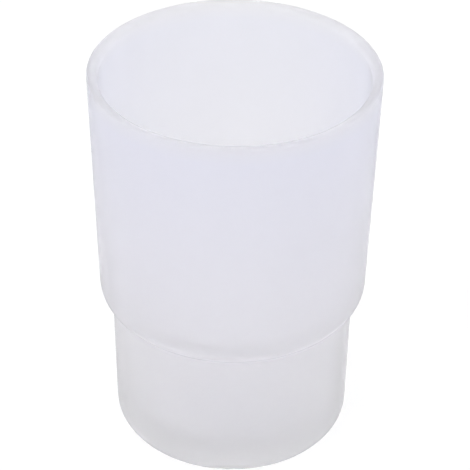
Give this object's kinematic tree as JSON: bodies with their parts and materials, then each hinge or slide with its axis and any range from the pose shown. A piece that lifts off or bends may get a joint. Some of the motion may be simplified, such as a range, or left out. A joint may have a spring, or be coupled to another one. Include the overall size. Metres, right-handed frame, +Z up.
{
  "type": "tumbler",
  "caption": "Stepped frosted glass tumbler, a tapered cup whose narrower foot drops through the ring of a wall holder and whose shoulder rests on it.",
  "frame": {"origin": "centre of the flat standing ring under the base, on the surface that the tumbler stands on", "axes": "+Z up along the axis that the glass is turned about, X and Y alike in the plane of the base"},
  "size_m": [0.068, 0.068, 0.0984],
  "materials": {
    "frosted_glass": "frosted all over, with a blurred shine"
  },
  "bodies": {
    "root": {"tumbler": "frosted_glass"}
  },
  "joints": []
}
